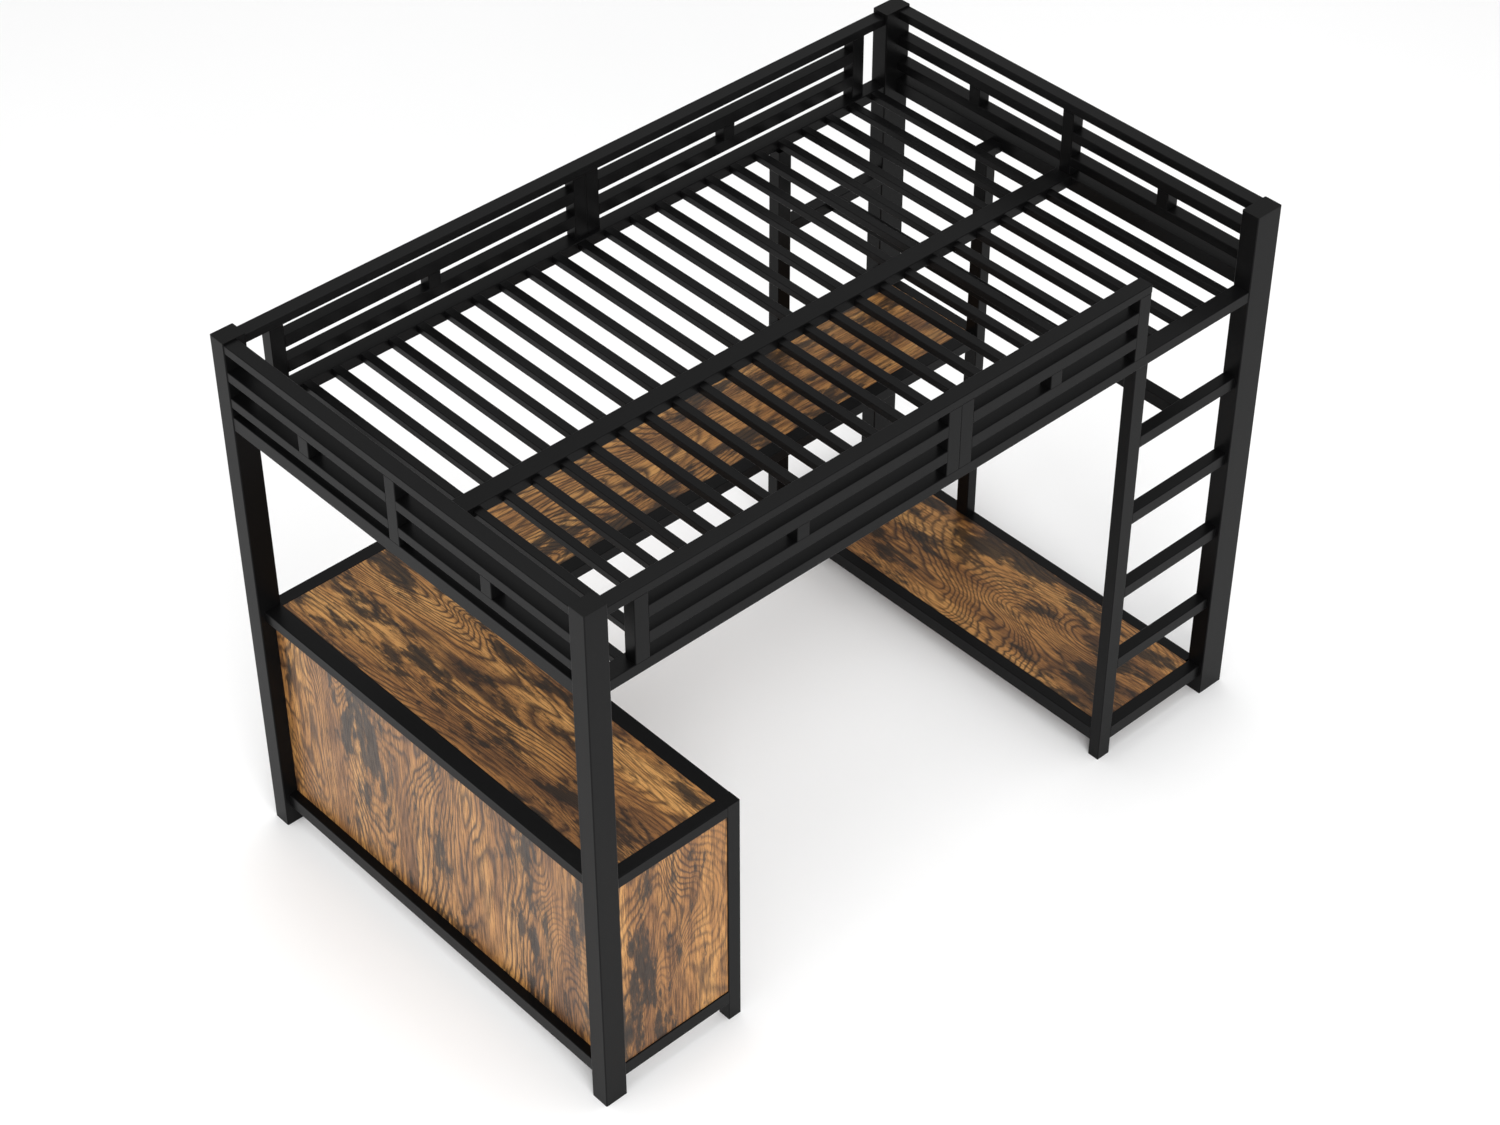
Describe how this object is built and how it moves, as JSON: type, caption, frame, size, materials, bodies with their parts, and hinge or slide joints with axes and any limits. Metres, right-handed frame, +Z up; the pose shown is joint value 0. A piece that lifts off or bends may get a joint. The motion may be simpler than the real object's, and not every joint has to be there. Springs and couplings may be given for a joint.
{
  "type": "loft bed with desk",
  "caption": "Metal loft bed with guards and a built-in ladder over an L-shaped desk, a low shelf and a clothes rail.",
  "frame": {"origin": "on the floor, under the middle of the bed's outer box", "axes": "+X along the bed towards the ladder end, +Y from the ladder side to the back, +Z up"},
  "size_m": [2.16, 1.296, 1.525],
  "materials": {
    "black_steel": "satin powder coat",
    "wood_board": "matt rustic brown laminate",
    "end_plug": "matt black",
    "fastener": "zinc plated"
  },
  "bodies": {
    "root": {"back_cross_bar": "black_steel", "back_upright": "black_steel", "centre_beam": "black_steel", "clothes_rail": "black_steel", "desk_bar_back_long": "black_steel", "desk_bar_back_short": "black_steel", "desk_bar_end": "black_steel", "desk_bar_front": "black_steel", "desk_board": "wood_board", "desk_board_ledges": "black_steel", "desk_upright": "black_steel", "end_guard_desk": "black_steel", "end_guard_ladder": "black_steel", "end_rail_desk": "black_steel", "end_rail_ladder": "black_steel", "guard_panel_back_desk_end": "black_steel", "guard_panel_back_ladder_end": "black_steel", "guard_panel_front_long": "black_steel", "guard_panel_front_short": "black_steel", "guard_top_rail_back": "black_steel", "guard_top_rail_front": "black_steel", "ladder_rung_1": "black_steel", "ladder_rung_2": "black_steel", "ladder_rung_3": "black_steel", "ladder_rung_4": "black_steel", "ladder_upright": "black_steel", "leg_foot_plugs": "end_plug", "leg_top_caps": "end_plug", "post_desk_back": "black_steel", "post_desk_front": "black_steel", "post_foot_plugs": "end_plug", "post_ladder_back": "black_steel", "post_ladder_front": "black_steel", "post_top_caps": "end_plug", "rail_bolts": "fastener", "rail_nuts": "fastener", "return_bar_back": "black_steel", "return_bar_end": "black_steel", "return_bar_front": "black_steel", "return_bar_inner": "black_steel", "return_base_end": "black_steel", "return_base_front": "black_steel", "return_board": "wood_board", "return_board_ledges": "black_steel", "return_leg_back": "black_steel", "return_leg_front": "black_steel", "return_panel_end": "wood_board", "return_panel_front": "wood_board", "shelf_board": "wood_board", "shelf_board_ledges": "black_steel", "shelf_rail_back": "black_steel", "shelf_rail_front": "black_steel", "shelf_rail_inner": "black_steel", "shelf_rail_outer": "black_steel", "side_rail_back": "black_steel", "side_rail_front": "black_steel", "slats_back": "black_steel", "slats_front": "black_steel", "upright_bracket": "black_steel"}
  },
  "joints": []
}
